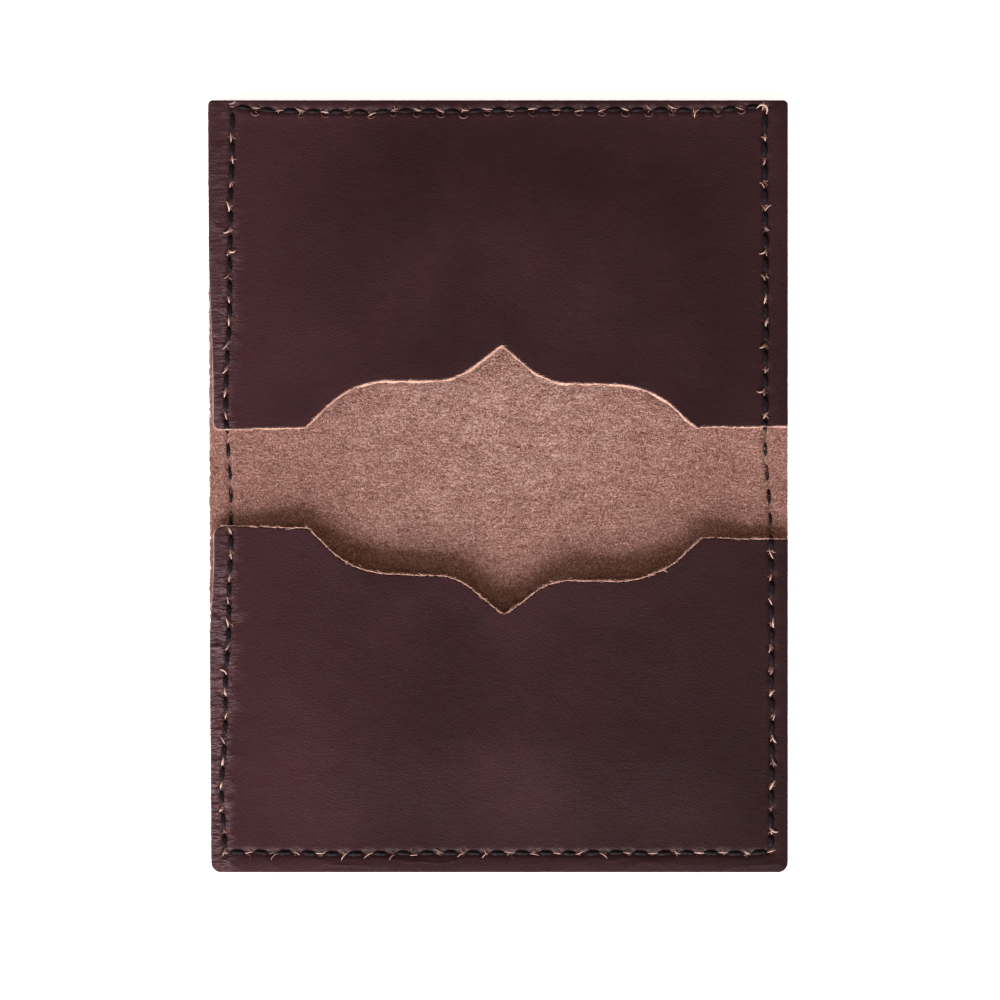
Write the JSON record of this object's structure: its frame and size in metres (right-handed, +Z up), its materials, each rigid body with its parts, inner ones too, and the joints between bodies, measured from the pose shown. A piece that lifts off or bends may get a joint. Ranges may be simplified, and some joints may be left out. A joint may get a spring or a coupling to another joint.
{
  "type": "business card case",
  "caption": "Bifold leather card case lying open, with facing pockets that have ogee thumb notches, sewn to one folding cover.",
  "frame": {"origin": "middle of the fold, on the surface that the open case lies on", "axes": "X along the fold (the case's width), +Y towards the upper pocket across the fold, +Z up out of the suede inside"},
  "size_m": [0.102, 0.136, 0.0041],
  "materials": {
    "cover_leather": "dark oxblood grain outside, pinkish tan suede inside",
    "pocket_leather": "smooth dark oxblood grain leather, satin",
    "thread": "black waxed sewing thread"
  },
  "bodies": {
    "lower_half": {"cover_lower": "cover_leather", "pocket_lower": "pocket_leather", "needle_thread_lower": "thread", "bobbin_thread_lower": "thread"},
    "spine": {"cover_spine": "cover_leather", "needle_thread_spine": "thread", "bobbin_thread_spine": "thread"},
    "upper_half": {"cover_upper": "cover_leather", "pocket_upper": "pocket_leather", "needle_thread_upper": "thread", "bobbin_thread_upper": "thread"}
  },
  "joints": [
    {"name": "lower_crease", "type": "hinge", "parent": "lower_half", "child": "spine", "pos_m": [0, -0.0028, 0.0015], "axis": [1, 0, 0], "range_deg": [0, 90]},
    {"name": "upper_crease", "type": "hinge", "parent": "spine", "child": "upper_half", "pos_m": [0, 0.0028, 0.0015], "axis": [1, 0, 0], "range_deg": [0, 90]}
  ]
}
